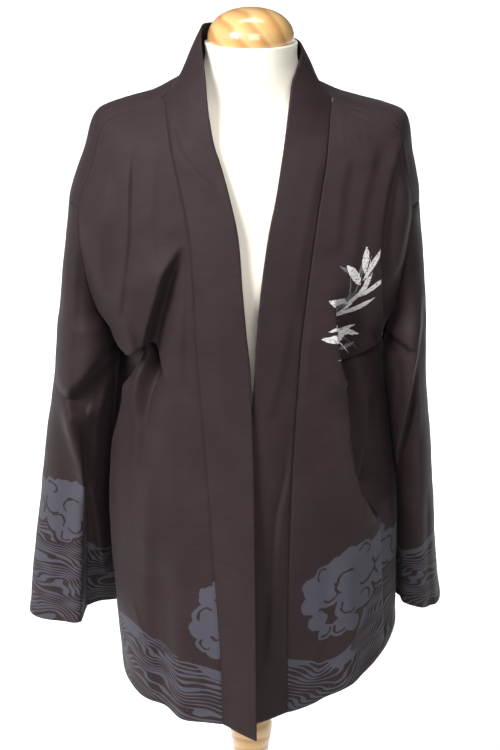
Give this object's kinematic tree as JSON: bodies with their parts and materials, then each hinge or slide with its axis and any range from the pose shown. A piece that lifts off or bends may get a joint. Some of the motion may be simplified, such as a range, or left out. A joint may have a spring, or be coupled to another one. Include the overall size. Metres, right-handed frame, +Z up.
{
  "type": "kimono jacket on dress form",
  "caption": "Open kimono jacket with wide hanging sleeves and a long collar band, worn by a limbless dress form on a turned wooden stand.",
  "frame": {"origin": "centre of the stand base's underside", "axes": "+Z up, -Y the way the wearer faces, +X to the wearer's left"},
  "size_m": [0.6038, 0.4232, 1.462],
  "materials": {
    "cloth": "soft woven, printed at hem and cuffs",
    "form_cover": "smooth jersey",
    "wood": "clear lacquer"
  },
  "bodies": {
    "root": {"back": "cloth", "front_right": "cloth", "front_left": "cloth", "sleeve_right": "cloth", "sleeve_left": "cloth", "collar_right": "cloth", "collar_left": "cloth", "form_torso": "form_cover", "neck_cap": "wood", "stand_post": "wood", "stand_base": "wood"}
  },
  "joints": []
}
